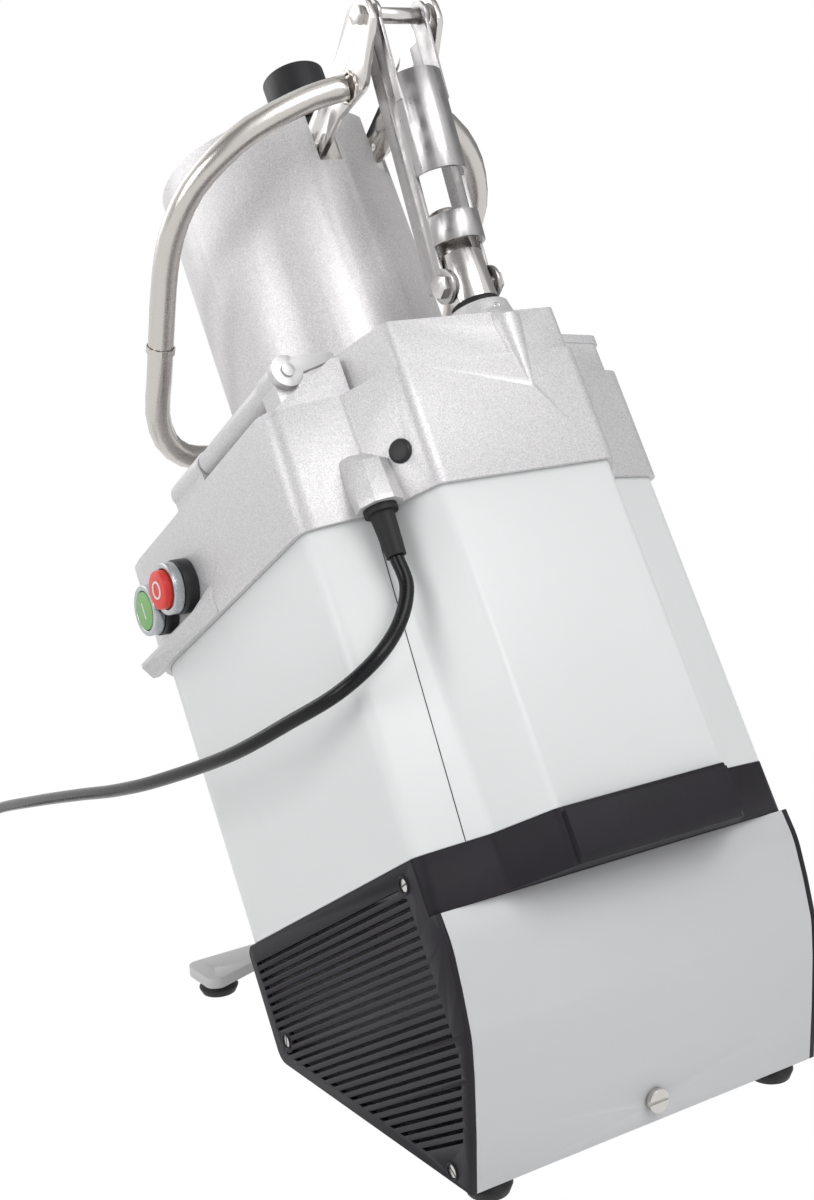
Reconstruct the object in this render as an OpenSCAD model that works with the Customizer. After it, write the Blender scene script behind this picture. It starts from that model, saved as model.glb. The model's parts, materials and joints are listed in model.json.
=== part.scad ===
// Continuous feed food processor: a leaning machine body on a low base,
// with a cast cutting chamber, a wide feed cylinder and a lever-worked pusher.
// Millimetres. +Z is up, the user stands at -Y, X = 0 is the middle plane.
// The body leans towards the user. Its pieces are drawn upright in a leaned
// frame whose origin is on the shoulder line at the foot of the body.

/* [Stance] */
// Lean of the body towards the user, in degrees
lean = 28.3; // [27:0.1:29]
// Place of the shoulder line behind the middle of the base
shoulder_y = 89.5; // [88:0.5:91]
// Height of the shoulder line above the floor
shoulder_z = 229.4; // [228:0.2:232]

/* [Base] */
// Width of the base over its side grilles
base_w = 303; // [300:1:306]
// Place of the back face of the base at the floor
base_back_y = 131; // [130:0.5:133]
// Place of the front of the base at the floor
base_front_y = -124; // [-128:1:-120]
// Height of the underside of the base above the floor
floor_gap = 14; // [12:0.5:16]
// Thickness of a side grille
grille_t = 4; // [3:0.5:5]
// Number of louvre slots in a side grille
slot_count = 26; // [12:1:28]
// Width of one louvre slot
slot_w = 2.6; // [1.6:0.1:3]
// Pitch of the louvre slots
slot_pitch = 6.4; // [6:0.1:7]
// Thickness of the back panel sheet
back_panel_t = 2; // [1.5:0.5:3]
// Height of the black band
band_h = 38; // [34:1:40]
// Thickness of the bottom plate
bottom_t = 3; // [2:0.5:4]
// Radius of a rubber foot
foot_r = 17; // [14:0.5:19]
// Width of the front foot bar from end to end
bar_w = 262; // [240:2:270]
// Thickness of the front foot bar
bar_t = 9; // [7:0.5:10]

/* [Body] */
// Half width of the body over its shoulders
body_half = 152; // [151:0.5:153]
// Length of the body from shoulder line to front
body_front = 319; // [316:1:322]
// Half width of the back block
block_half = 71.3; // [69:0.5:73]
// Depth of the back block behind the shoulder line
block_depth = 53.7; // [52:0.5:56]
// Half width of the body at the inner crease
crease_half = 97.4; // [95:0.5:100]
// Depth of the inner crease
crease_depth = 14; // [12:0.5:16]
// Height of the body from the band to the casting
body_h = 227.7; // [227:0.5:229]
// Thickness of the body sheet
sheet_t = 2; // [1.5:0.5:3]

/* [Casting] */
// Height of the casting skirt and chamber above the body
casting_h = 88.3; // [88:0.5:90]
// Height of the back block of the casting above the body
block_h = 122; // [120:0.5:123]
// How far the casting stands proud of the body
proud = 4.5; // [4:0.5:5]
// Radius of the cutting chamber
chamber_r = 98; // [97:0.5:98.5]
// Width of the outlet
outlet_w = 120; // [100:2:124]

/* [Feed head] */
// Outer radius of the feed cylinder
cyl_r = 92; // [91:0.5:93]
// Wall of the feed cylinder
cyl_wall = 2.5; // [2:0.25:3]
// Distance of the cylinder axis in front of the shoulder line
cyl_v = 131; // [130:0.5:132]
// Height of the cylinder rim above the shoulder line
rim_w = 585; // [580:1:590]
// Thickness of the feed head flange
flange_t = 18; // [16:1:20]
// Radius of the feed tube in the pusher
tube_r = 27; // [24:0.5:28]

/* [Lever] */
// Radius of the loop handle tube
loop_r = 10; // [9:0.5:10.5]
// Thickness of the lever plates
plate_t = 5; // [4:0.5:6]
// Half distance between the lever plates
plate_half = 29; // [28:0.5:30]
// Radius of the column shaft
column_r = 13; // [12:0.5:13.5]
// Outer radius of the column collar
collar_r = 18; // [17:0.5:18.5]

/* [Controls] */
// Radius of a button bezel
bezel_r = 19; // [18:0.5:20]
// Travel of a button
button_travel = 3; // [2:0.5:4]

/* [Hidden] */

gap = 0.3;
over = 1;
$fn = 96;

// Leaned frame
module leaned() translate([0, shoulder_y, shoulder_z]) rotate([lean, 0, 0]) children();
function lean_y(v, w) = shoulder_y - v * cos(lean) - w * sin(lean);
function lean_z(v, w) = shoulder_z - v * sin(lean) + w * cos(lean);
function lean_pt(u, v, w) = [u, lean_y(v, w), lean_z(v, w)];
module both_sides() { children(); mirror([1, 0, 0]) children(); }

// Outlines: points are [x, y, radius], anticlockwise, each corner rounded
function unit(a) = a / norm(a);
function flat(p) = [p[0], p[1]];
function corner(a, b, c, r, n = 6) =
  let (u = unit(a - b), v = unit(c - b), turn = acos(u * v), t = r / tan(turn / 2))
  let (o = b + unit(u + v) * r / sin(turn / 2), p = b + u * t - o, q = b + v * t - o)
  let (s = atan2(p[1], p[0]), d = (atan2(q[1], q[0]) - s + 540) % 360 - 180)
  [for (i = [0:n]) o + r * [cos(s + d * i / n), sin(s + d * i / n)]];
function rounded(pts) = let (n = len(pts)) [for (i = [0:n - 1])
  let (a = flat(pts[(i + n - 1) % n]), b = flat(pts[i]), c = flat(pts[(i + 1) % n]))
  each (pts[i][2] > 0 ? corner(a, b, c, pts[i][2]) : [b])];
function out_normal(a, b) = let (d = unit(b - a)) [d[1], -d[0]];
// The same outline grown by g, square to each side
function grown(pts, g) = let (n = len(pts)) [for (i = [0:n - 1])
  let (a = flat(pts[(i + n - 1) % n]), b = flat(pts[i]), c = flat(pts[(i + 1) % n]))
  let (n1 = out_normal(a, b), n2 = out_normal(b, c), m = b + (n1 + n2) * g / (1 + n1 * n2))
  let (bend = n1[0] * n2[1] - n1[1] * n2[0])
  [m[0], m[1], max(pts[i][2] + (bend > 0 ? g : -g), 1)]];

shoulder_round = 12;
crease_round = 10;
block_round = 8;
front_round = 60;
body_line = [[body_half, -body_front, front_round], [body_half, 0, shoulder_round],
  [crease_half, crease_depth, crease_round], [block_half, block_depth, block_round],
  [-block_half, block_depth, block_round], [-crease_half, crease_depth, crease_round],
  [-body_half, 0, shoulder_round], [-body_half, -body_front, front_round]];
module body_prism(g, w0, w1)
  translate([0, 0, w0]) linear_extrude(w1 - w0) polygon(rounded(grown(body_line, g)));
module ring(r_out, r_in, h) difference() {
  cylinder(r = r_out, h = h);
  translate([0, 0, -over]) cylinder(r = r_in, h = h + 2 * over);
}
module hex_head(across, h) cylinder(r = across / sqrt(3), h = h, $fn = 6);
module block(x0, x1, y0, y1, z0, z1)
  translate([x0, y0, z0]) cube([x1 - x0, y1 - y0, z1 - z0]);

// Base
side_in = base_w / 2 - grille_t;
base_top_back = lean_pt(0, 0, -band_h);
plate_top = floor_gap + bottom_t;
grille_nose = 30;
// Bulge of the back: distance behind the foot of the back, and height above it
back_bulge = [[4, 41, 60], [6.5, 81, 60], [6.5, 108, 60], [-0.5, 138, 60], [-8.5, 165, 60]];
module side_outline(inset = 0) polygon(rounded([
  [base_front_y + inset, floor_gap + inset, 14],
  [base_back_y - inset, floor_gap + inset, 0],
  each [for (b = back_bulge) [base_back_y + b[0] - inset, floor_gap + b[1], b[2]]],
  [lean_y(-4, -band_h) - inset, lean_z(-4, -band_h), 0],
  [lean_y(0, -gap), lean_z(0, -gap), 0],
  [lean_y(body_front - grille_nose, -gap) + inset, lean_z(body_front - grille_nose, -gap), 8]]));
module side_solid(x0, x1, inset = 0)
  translate([x0, 0, 0]) rotate([90, 0, 90]) linear_extrude(x1 - x0) side_outline(inset);

slot_margin = 14;
module louvres() {
  middle_v = (body_front - grille_nose) / 2;
  for (i = [0:slot_count - 1]) {
    w = -slot_margin - i * slot_pitch;
    translate([0, lean_y(0, w), lean_z(0, w)]) rotate([lean - 180, 0, 0])
      block(side_in - over, side_in + grille_t + over, slot_margin + 10, 2 * middle_v, 0, slot_w);
  }
}
screw_spots = [[75.4, 207.3], [-111.8, 34], [109.7, 22]];
screw_r = 4.5;
screw_head_h = 2;
module side_screws(grow = 0, deep = 0) for (s = screw_spots)
  translate([side_in + grille_t - screw_head_h - deep, s[0], s[1]]) rotate([0, 90, 0])
    cylinder(r = screw_r + grow, h = screw_head_h + deep + (grow > 0 ? over : 0), $fn = 32);
slot_keep = 9;
module grille_side() color("dimgray") difference() {
  side_solid(side_in, side_in + grille_t);
  difference() {
    intersection() {
      louvres();
      side_solid(side_in - over, side_in + grille_t + over, slot_keep);
    }
    for (s = screw_spots) translate([side_in - 2 * over, s[0], s[1]]) rotate([0, 90, 0])
      cylinder(r = 2 * screw_r, h = grille_t + 4 * over, $fn = 32);
  }
  side_screws(gap);
  leaned() block(-base_w, base_w, band_seam_y - gap, base_w, -band_h - gap, base_w);
}
module right_grille() grille_side();
module left_grille() mirror([1, 0, 0]) grille_side();
module grille_screws() color("silver") both_sides() side_screws();

module back_panel() color("lightgray") difference() {
  side_solid(-side_in + gap, side_in - gap);
  side_solid(-side_in - over, side_in + over, back_panel_t);
  block(-base_w, base_w, -3 * base_w, base_back_y - back_panel_t, -over, plate_top + gap);
  block(-base_w, base_w, -3 * base_w, base_back_y - 40, -over, 3 * base_w);
  leaned() block(-base_w, base_w, -block_depth, 2 * block_depth, -band_h - gap, base_w);
  back_screw_cut();
}
back_screw_z = 32;
back_screw_r = 8.5;
back_screw_out = 3.6;
module back_screw_cut() translate([0, base_back_y - 20, back_screw_z]) rotate([-90, 0, 0])
  cylinder(r = back_screw_r / 2, h = 40);
module back_panel_screw() color("silver") difference() {
  translate([0, base_back_y + back_screw_out, back_screw_z]) rotate([-90, 0, 0])
    cylinder(r = back_screw_r, h = 4);
  block(-back_screw_r - over, back_screw_r + over, base_back_y + back_screw_out + 2.5,
    base_back_y + back_screw_out + 5,
    back_screw_z - 1, back_screw_z + 1);
}
module base_bottom_plate() color("gray") difference() {
  block(-side_in + gap, side_in - gap, base_front_y + 12, base_back_y - back_panel_t - gap,
    floor_gap, plate_top);
  for (x = [-foot_x, foot_x]) translate([x, foot_back_y, floor_gap - over]) cylinder(r = foot_screw_r, h = 20);
}
module front_panel() color("gray") difference() {
  side_solid(-side_in + gap, side_in - gap);
  side_solid(-side_in - over, side_in + over, back_panel_t);
  block(-base_w, base_w, base_front_y + 12 - gap, 3 * base_w, -over, 3 * base_w);
}
foot_x = 126;
foot_back_y = 112;
foot_front_y = -306;
foot_screw_r = 3;
bar_foot_x = bar_w / 2 - foot_r;
foot_places = [[-foot_x, foot_back_y], [foot_x, foot_back_y], [-bar_foot_x, foot_front_y],
  [bar_foot_x, foot_front_y]];
bar_gap = 12;
module rubber_feet() color("black") for (p = foot_places) {
  h = p[1] > 0 ? floor_gap : bar_gap;
  translate([p[0], p[1], 0]) difference() {
    union() {
      cylinder(r1 = foot_r - 3, r2 = foot_r, h = h / 2);
      translate([0, 0, h / 2]) cylinder(r1 = foot_r, r2 = foot_r - 4, h = h / 2);
    }
    translate([0, 0, h / 3]) cylinder(r = foot_screw_r, h = h);
  }
}
module foot_screws() color("silver") for (p = foot_places) {
  h = p[1] > 0 ? floor_gap : bar_gap;
  t = p[1] > 0 ? bottom_t : bar_t;
  translate([p[0], p[1], h / 3 + gap]) cylinder(r = foot_screw_r - 0.1, h = 2 * h / 3 - gap + t - 0.2);
}
bar_far_y = -334;
bar_near_y = -280;
bar_waist_y = -298;
tongue_half = 45;
tongue_end_y = -90;
module front_foot_bar() color("lightgray") difference() {
  union() {
    translate([0, 0, bar_gap]) linear_extrude(bar_t) polygon(rounded([
      [bar_w / 2, bar_far_y, 10], [bar_w / 2, bar_near_y, 10], [bar_w / 3.2, bar_waist_y, 12],
      [-bar_w / 3.2, bar_waist_y, 12], [-bar_w / 2, bar_near_y, 10], [-bar_w / 2, bar_far_y, 10]]));
    block(-tongue_half, tongue_half, bar_far_y + 12, tongue_end_y, floor_gap - bar_t / 2, floor_gap);
  }
  for (x = [-1, 1]) translate([x * bar_foot_x, foot_front_y, 0]) cylinder(r = foot_screw_r, h = 60);
}

// Band and body
band_seam_y = -4;
band_t = 4;
band_box_out = 5;
band_bevel = 6;
module band_box() hull() {
  block(-block_half + 3, block_half - 3, block_depth - 8, block_depth + band_box_out, band_bevel - band_h, -3);
  block(-block_half + 3, block_half - 3, block_depth - 8, block_depth + gap, -band_h, -band_h + 1);
}
module base_band() leaned() color("dimgray") difference() {
  union() {
    body_prism(gap, -band_h, 0);
    band_box();
  }
  body_prism(-band_t, band_t - band_h, over);
  block(-base_w, base_w, -2 * base_w, band_seam_y, -band_h - over, over);
}
module body_shell() leaned() color("whitesmoke") difference() {
  body_prism(0, 0, body_h + 8);
  body_prism(-sheet_t, -over, body_h + 9);
}

// Drive inside the body
motor_v = cyl_v + 90;
motor_r = 60;
motor_w0 = 12;
motor_w1 = 116;
mplate_w = 120;
mplate_t = 6;
belt_w = 134;
belt_h = 16;
pulley_small = 18;
pulley_large = 52;
belt_t = 3;
shaft_r = 10;
motor_shaft_r = 7;
floor_w = 242;
floor_t = 8;
post_r = 7;
post_places = [[-125, -40], [125, -40], [-125, -265], [125, -265]];
module at_shaft(w) leaned() translate([0, -cyl_v, w]) children();
module at_motor(w) leaned() translate([0, -motor_v, w]) children();
module motor_plate() color("gray") leaned() difference() {
  body_prism(-sheet_t - 1, mplate_w, mplate_w + mplate_t);
  translate([0, -motor_v, mplate_w - over]) cylinder(r = motor_shaft_r + 1, h = 20);
  translate([0, -cyl_v, mplate_w - over]) cylinder(r = shaft_r + 2, h = 20);
  block(-60, 60, -20, block_depth, mplate_w - over, mplate_w + 20);
  for (p = post_places) translate([p[0], p[1], mplate_w - over]) cylinder(r = post_r / 2, h = 20);
}
module plate_posts() color("silver") leaned() for (p = post_places) {
  translate([p[0], p[1], mplate_w + mplate_t]) cylinder(r = post_r, h = floor_w - mplate_w - mplate_t);
  translate([p[0], p[1], mplate_w]) cylinder(r = post_r / 2 - 0.1, h = mplate_t + over);
}
module motor_stator() color("slategray") at_motor(motor_w0) difference() {
  cylinder(r = motor_r, h = mplate_w - motor_w0);
  translate([0, 0, 4]) cylinder(r = motor_r - 6, h = mplate_w - motor_w0 - 8);
  translate([0, 0, -over]) cylinder(r = motor_shaft_r + gap, h = 2 * motor_w1);
}
module motor_rotor() color("silver") at_motor(motor_w0 + 6) {
  translate([0, 0, 22]) cylinder(r = motor_r - 8, h = mplate_w - motor_w0 - 36);
  translate([0, 0, -3]) cylinder(r = motor_shaft_r, h = belt_w + belt_h - motor_w0 + 4);
}
module motor_fan() color("dimgray") at_motor(motor_w0 + 9) difference() {
  union() {
    cylinder(r = 16, h = 12);
    for (i = [0:7]) rotate(i * 45) block(12, motor_r - 10, -1.5, 1.5, 0, 12);
  }
  translate([0, 0, -over]) cylinder(r = motor_shaft_r + 0.05, h = 20);
}
module pulley(r, bore) difference() {
  union() {
    cylinder(r = r, h = belt_h);
    translate([0, 0, -2]) cylinder(r = r + 2, h = 2);
  }
  translate([0, 0, -3]) cylinder(r = bore + 0.05, h = belt_h + 4);
}
module motor_pulley() color("silver") at_motor(belt_w) pulley(pulley_small, motor_shaft_r);
module drive_pulley() color("silver") at_shaft(belt_w) pulley(pulley_large, shaft_r);
module belt_shape(g) hull() {
  translate([0, -cyl_v]) circle(r = pulley_large + g, $fn = 64);
  translate([0, -motor_v]) circle(r = pulley_small + g, $fn = 64);
}
module drive_belt() color("black") leaned() translate([0, 0, belt_w + 1]) linear_extrude(belt_h - 2)
  difference() {
    belt_shape(gap + belt_t);
    belt_shape(gap);
  }
disc_w = 288;
disc_t = 4;
ejector_w = floor_w + floor_t + 4;
module drive_shaft() color("silver") at_shaft(belt_w - 4) {
  cylinder(r = shaft_r, h = disc_w - belt_w + disc_t + 14);
}
housing_w = 160;
housing_r = 32;
bearing_h = 14;
module bearing_housing() color("gray") at_shaft(housing_w) difference() {
  union() {
    cylinder(r = housing_r, h = floor_w - housing_w);
    translate([0, 0, floor_w - housing_w - 8]) cylinder(r = housing_r + 14, h = 8);
  }
  translate([0, 0, -over]) cylinder(r = shaft_r + 2, h = 200);
  translate([0, 0, -over]) cylinder(r = housing_r - 8, h = bearing_h + over);
  translate([0, 0, floor_w - housing_w - bearing_h - 6]) cylinder(r = housing_r - 8, h = 60);
}
module shaft_bearings() color("silver") for (w = [housing_w, floor_w - bearing_h - 6])
  at_shaft(w) ring(housing_r - 8.05, shaft_r + 0.05, bearing_h);
module shaft_seal() color("black") at_shaft(floor_w - 6) ring(housing_r - 8.05, shaft_r + 0.05, 6);
control_size = [80, 60, 70];
filter_size = [70, 50, 50];
module control_box() color("dimgray") for (s = [[-1, control_size], [1, filter_size]])
  translate([s[0] > 0 ? grille_nose : -grille_nose - s[1][0],
    base_back_y - grille_nose - s[1][1], plate_top]) cube(s[1]);

// Casting
flange_w = body_h + casting_h;
block_w = body_h + block_h;
wing_w = block_w - 1;
boss_v = -28;
boss_u = -28;
boss_r = 23;
boss_up = 14.3;
boss_w = block_w + boss_up;
pocket_wall = 6;
switch_v = [186, 232];
switch_up = 36.8;
switch_w = body_h + switch_up;
ring_r = bezel_r + 2;
ledge_clear = 2.8;
stem_r = 11;
plug_share = 0.63;
plug_w = 260;
plug_r = 9;
gland_place = [106, 27];
gland_r = 9;
hood_r = 17;
hood_h = 42;
outlet_low = floor_w + floor_t;
outlet_high = 286;
hinge_u = 126;
hinge_up = 29;
hinge_w = flange_w + hinge_up;
hinge_v = [2, 26, 148, 208];
hinge_r = 11;
hinge_pin_r = 5;
ledge_v = [150, 298];
module wing() linear_extrude(wing_w - body_h) polygon(rounded([
  [-body_half + 3, -70, 6], [-crease_half + 2, -70, 4], [-crease_half + 2, 12, 4],
  [-body_half + 3, 0, 10]]));
module back_block() linear_extrude(block_w - body_h) polygon(rounded([
  [crease_half - 8, -8, 6], [crease_half - 8, 8, 8], [block_half + 1, block_depth + 2, 8],
  [-block_half - 1, block_depth + 2, 8], [-crease_half + 4, 10, 8], [-crease_half + 4, -8, 6]]));
// Hood over the cable gland: an eight sided pocket that leans back into the casting
hood_side = 4;
module hood() hull() {
  translate([gland_place[0], gland_place[1] + 1, body_h]) rotate(22.5 - 15)
    cylinder(r = hood_r, h = hood_side, $fn = 8);
  translate([gland_place[0] - 3, gland_place[1] - 3, body_h + hood_h - 12]) rotate(22.5 - 15)
    cylinder(r = hood_r - 2, h = 2, $fn = 8);
  translate([gland_place[0] - 3, gland_place[1] - 18, body_h + hood_h - 2]) rotate(22.5 - 15)
    cylinder(r = hood_r - 3, h = 2, $fn = 8);
}
// The casting's rim rises from each shoulder to the back block
module rim_rise() hull() {
  block(crease_half - 6, crease_half, -10, crease_depth + 3, flange_w - over, hinge_w);
  block(body_half - 6, body_half - 4, -14, 3, flange_w - over, flange_w);
}
wing_lip = 7;
module wing_plate() translate([0, 0, wing_w - body_h - wing_lip]) linear_extrude(wing_lip) polygon(rounded([
  [-body_half + 1.5, -71, 6], [-crease_half + 2, -71, 4], [-crease_half + 2, 13, 4],
  [-body_half + 1.5, 1, 10]]));
ledge_out = 12;
ledge_mid = 26;
ledge_h = switch_up - ring_r - ledge_clear;
ledge_lip = 3;
module ledge_middle() block(body_half, body_half + ledge_out, -ledge_v[0] - ledge_mid,
  -ledge_v[0] - ledge_mid + 2, body_h + ledge_h - 2, body_h + ledge_h);
module ledge_foot(v0, v1) block(body_half, body_half + proud + over, -v1, -v0, body_h, body_h + 1);
module ledge() {
  hull() {
    ledge_foot(ledge_v[0], ledge_v[0] + ledge_mid);
    block(body_half, body_half + proud + over, -ledge_v[0] - 2, -ledge_v[0], body_h + ledge_h + 2 * ledge_lip,
      body_h + ledge_h + 3 * ledge_lip);
    ledge_middle();
  }
  hull() {
    ledge_foot(ledge_v[0] + ledge_mid, ledge_v[1]);
    ledge_middle();
    block(body_half - 20, body_half + ledge_out, -ledge_v[1], -ledge_v[1] + 2, body_h + ledge_h - ledge_lip, body_h + ledge_h);
  }
}
// Ridge that runs from the boss over the rear face and dies out on it
rib_w = 288;
rib_r = 13;
rib_out = 6;
rib_foot = 2;
module rib() {
  back = block_depth + proud;
  hull() {
    translate([boss_u, -boss_v, block_w - over]) cylinder(r = boss_r - 2, h = boss_up - 4, $fn = 48);
    translate([boss_u, back + rib_out - rib_r, block_w - 10]) cylinder(r = rib_r, h = 5, $fn = 48);
    translate([boss_u, back + rib_foot - rib_r, block_w - 30]) cylinder(r = rib_r - 2, h = 1, $fn = 48);
  }
  hull() {
    translate([boss_u, back + rib_out - rib_r, block_w - 10]) cylinder(r = rib_r, h = 1, $fn = 48);
    translate([boss_u, back - rib_foot, rib_w]) cylinder(r = rib_foot, h = 1, $fn = 24);
  }
}
module top_casting() color("silver") leaned() difference() {
  union() {
    body_prism(proud, body_h, flange_w);
    translate([0, 0, body_h]) back_block();
    translate([0, 0, body_h]) wing();
    translate([0, 0, body_h]) wing_plate();
    rim_rise();
    translate([boss_u, -boss_v, block_w - over]) cylinder(r1 = boss_r + 3, r2 = boss_r, h = boss_w - block_w + over);
    rib();
    hood();
    ledge();
    for (i = [0, 2]) translate([hinge_u, -hinge_v[i + 1], hinge_w]) rotate([-90, 0, 0])
      cylinder(r = hinge_r, h = hinge_v[i + 1] - hinge_v[i] - 1);
    for (i = [0, 2]) block(hinge_u - 9, hinge_u + 9, -hinge_v[i + 1], -hinge_v[i] - 1,
      flange_w - over, hinge_w);
  }
  body_prism(gap, body_h - over, body_h + 8 + gap);
  difference() {
    body_prism(-pocket_wall, body_h, flange_w - 8);
    translate([0, -cyl_v, floor_w]) cylinder(r = chamber_r + pocket_wall, h = 100);
    translate([boss_u, -boss_v, body_h - over]) cylinder(r = boss_r - 3, h = 200);
    block(-outlet_w / 2 - pocket_wall, outlet_w / 2 + pocket_wall, -body_front - 10, -cyl_v,
      floor_w, outlet_high + pocket_wall);
    for (p = post_places) translate([p[0], p[1], floor_w]) cylinder(r = post_r + 4, h = 100);
    translate([0, -cyl_v, floor_w]) cylinder(r = housing_r + 20, h = floor_t);
  }
  block(-block_half + pocket_wall, block_half - pocket_wall, 4, block_depth - pocket_wall,
    body_h, block_w - pocket_wall);
  translate([0, -cyl_v, floor_w + floor_t]) cylinder(r = chamber_r, h = 200);
  translate([0, -cyl_v, floor_w - over]) cylinder(r = shaft_r + 1, h = 50);
  block(-outlet_w / 2, outlet_w / 2, -body_front - 20, -cyl_v, outlet_low, outlet_high);
  translate([boss_u, -boss_v, block_w - 60]) cylinder(r = column_r + 0.05, h = 200);
  for (v = switch_v) translate([body_half - 20, -v, switch_w]) rotate([0, 90, 0])
    cylinder(r = stem_r + gap, h = 60);
  at_facet(-30) cylinder(r = plug_r / 2, h = 60);
  translate([gland_place[0], gland_place[1], body_h - over]) cylinder(r = gland_r / 2 + 1, h = 16);
  translate([hinge_u, 10, hinge_w]) rotate([90, 0, 0]) cylinder(r = hinge_pin_r, h = 300);
}
// On the slanted face between the inner crease and the back block
module at_facet(out) {
  a = [crease_half, crease_depth];
  b = [block_half, block_depth];
  n = out_normal(a, b);
  p = a + plug_share * (b - a) + (proud + out) * n;
  translate([p[0], p[1], plug_w]) rotate([0, 90, atan2(n[1], n[0])]) children();
}
module round_plug_cap() color("black") leaned() at_facet(gap) {
    cylinder(r1 = plug_r, r2 = plug_r - 2, h = 3);
    translate([0, 0, -10]) cylinder(r = plug_r / 2 - gap, h = 11);
  }
chute_wall = 3;
chute_reach = 50;
chute_drop = 60;
module outlet_chute() color("silver") leaned() difference() {
  block(-outlet_w / 2 - chute_wall, outlet_w / 2 + chute_wall, -body_front - proud - chute_reach,
    -body_front - proud - gap, outlet_high - chute_drop, outlet_high + 6);
  block(-outlet_w / 2, outlet_w / 2, -body_front - proud - chute_reach + chute_wall,
    -body_front, outlet_high - chute_drop - over, outlet_high + 6 - chute_wall);
}

// What turns in the chamber
module ejector_plate() color("white") at_shaft(ejector_w) difference() {
  union() {
    cylinder(r = 34, h = 10);
    cylinder(r = chamber_r - 4, h = 3);
    for (i = [0:2]) rotate(i * 120) block(10, chamber_r - 8, -3, 3, 0, 16);
  }
  translate([0, 0, -over]) cylinder(r = shaft_r + 0.05, h = 40);
}
blade_angles = [0, 120, 240];
module slicing_disc() color("silver") at_shaft(disc_w) difference() {
  union() {
    cylinder(r = chamber_r - 5.5, h = disc_t);
    translate([0, 0, -14]) cylinder(r = 22, h = 18);
  }
  translate([0, 0, -20]) cylinder(r = shaft_r + 0.05, h = 60);
  for (a = blade_angles) rotate(a) block(24, chamber_r - 14, -2, 8, -over, disc_t + over);
}
module disc_blades() color("lightsteelblue") at_shaft(disc_w + disc_t) for (a = blade_angles)
  rotate(a) block(22, chamber_r - 12, -14, -1, 0, 1.2);
module disc_knob() color("dimgray") at_shaft(disc_w + disc_t) difference() {
  cylinder(r = 20, h = 16);
  translate([0, 0, -over]) cylinder(r = shaft_r + 0.05, h = 12);
}

// Feed head
cyl_w = flange_w + gap + flange_t;
notch_deep = 46;
notch_half = 10;
module feed_flange() color("silver") leaned() difference() {
  union() {
    translate([0, -cyl_v, flange_w + gap]) cylinder(r = chamber_r + 12, h = flange_t);
    block(chamber_r - 10, hinge_u - hinge_r - 2, -hinge_v[2] + 6, -hinge_v[1] - 6,
      flange_w + gap, cyl_w);
    translate([hinge_u, -hinge_v[1] - 1, hinge_w]) rotate([90, 0, 0])
      cylinder(r = hinge_r - 1, h = hinge_v[2] - hinge_v[1] - 2);
    block(hinge_u - 30, hinge_u, -hinge_v[2] + 8, -hinge_v[1] - 8, flange_w + gap + 6, hinge_w);
    block(-hinge_u - 4, -chamber_r + 10, -cyl_v - 20, -cyl_v + 20, flange_w + gap, cyl_w);
  }
  translate([0, -cyl_v, flange_w - over]) cylinder(r = cyl_r - cyl_wall, h = 2 * flange_t + 10);
  translate([hinge_u, 10, hinge_w]) rotate([90, 0, 0]) cylinder(r = hinge_pin_r + 0.05, h = 300);
}
module feed_cylinder() color("silver") leaned() difference() {
  translate([0, -cyl_v, cyl_w]) ring(cyl_r, cyl_r - cyl_wall, rim_w - cyl_w);
  for (s = [-1, 1]) block(boss_u + s * plate_half - notch_half, boss_u + s * plate_half + notch_half,
    -cyl_v, 0, rim_w - notch_deep, rim_w + over);
}
module hinge_pins() color("silver") leaned() {
  for (i = [0, 2]) translate([hinge_u, -hinge_v[i] + 8, hinge_w]) rotate([90, 0, 0])
    cylinder(r = hinge_pin_r - 0.05, h = hinge_v[i + 1] - hinge_v[i] + 16 - (i == 0 ? 0 : 4));
  translate([hinge_u, -hinge_v[0] + 6, hinge_w]) rotate([90, 0, 0]) cylinder(r = hinge_r + 1, h = 7);
  hull() {
    translate([hinge_u, -hinge_v[0] + 6, hinge_w + 2]) rotate([90, 0, 0]) cylinder(r = hinge_r - 4, h = 6, $fn = 32);
    translate([hinge_u - 36, -hinge_v[0] + 6, hinge_w + 8]) rotate([90, 0, 0]) cylinder(r = 3.5, h = 5, $fn = 32);
  }
}
module head_latch() color("gray") leaned() difference() {
  union() {
    block(-hinge_u - 14, -hinge_u - 4 - gap, -cyl_v - 14, -cyl_v + 14, flange_w + gap, cyl_w + 8);
    block(-hinge_u - 14, -hinge_u + 8, -cyl_v - 14, -cyl_v + 14, cyl_w + gap, cyl_w + 8);
  }
}

// Pusher
head_r = cyl_r - cyl_wall - 2.5;
pusher_w = cyl_w + 6;
pusher_t = 14;
pin_v = 60;
pin_w = 562;
tube_u = -31;
tube_v = 96;
pin_r = 4;
lug_half = 9;
module pusher_plate() color("white") leaned() difference() {
  translate([0, -cyl_v, pusher_w]) cylinder(r = head_r, h = pusher_t);
  translate([tube_u, -tube_v - 4, pusher_w - over]) cylinder(r = tube_r + 0.2, h = 60);
}
module feed_tube() color("silver") leaned() translate([tube_u, -tube_v - 4, pusher_w + 1])
  ring(tube_r, tube_r - 2, rim_w - pusher_w - 4);
stem_r2 = 5;
module pusher_stem() color("silver") leaned() difference() {
  union() {
    translate([10, -pin_v - 20, pusher_w + pusher_t]) cylinder(r = stem_r2, h = pin_w - pusher_w - pusher_t);
    translate([10, -pin_v - 20, pusher_w + pusher_t]) cylinder(r = 12, h = 4);
    block(8, 14, -pin_v - 22, -pin_v + 8, pin_w - 9, pin_w + 9);
  }
  translate([-over, -pin_v, pin_w]) rotate([0, 90, 0]) cylinder(r = pin_r, h = 40);
}
module pusher_pin() color("silver") leaned()
  translate([boss_u + plate_half - plate_t / 2 - 3, -pin_v, pin_w]) rotate([0, 90, 0])
    cylinder(r = pin_r - 0.05, h = 18);
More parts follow.
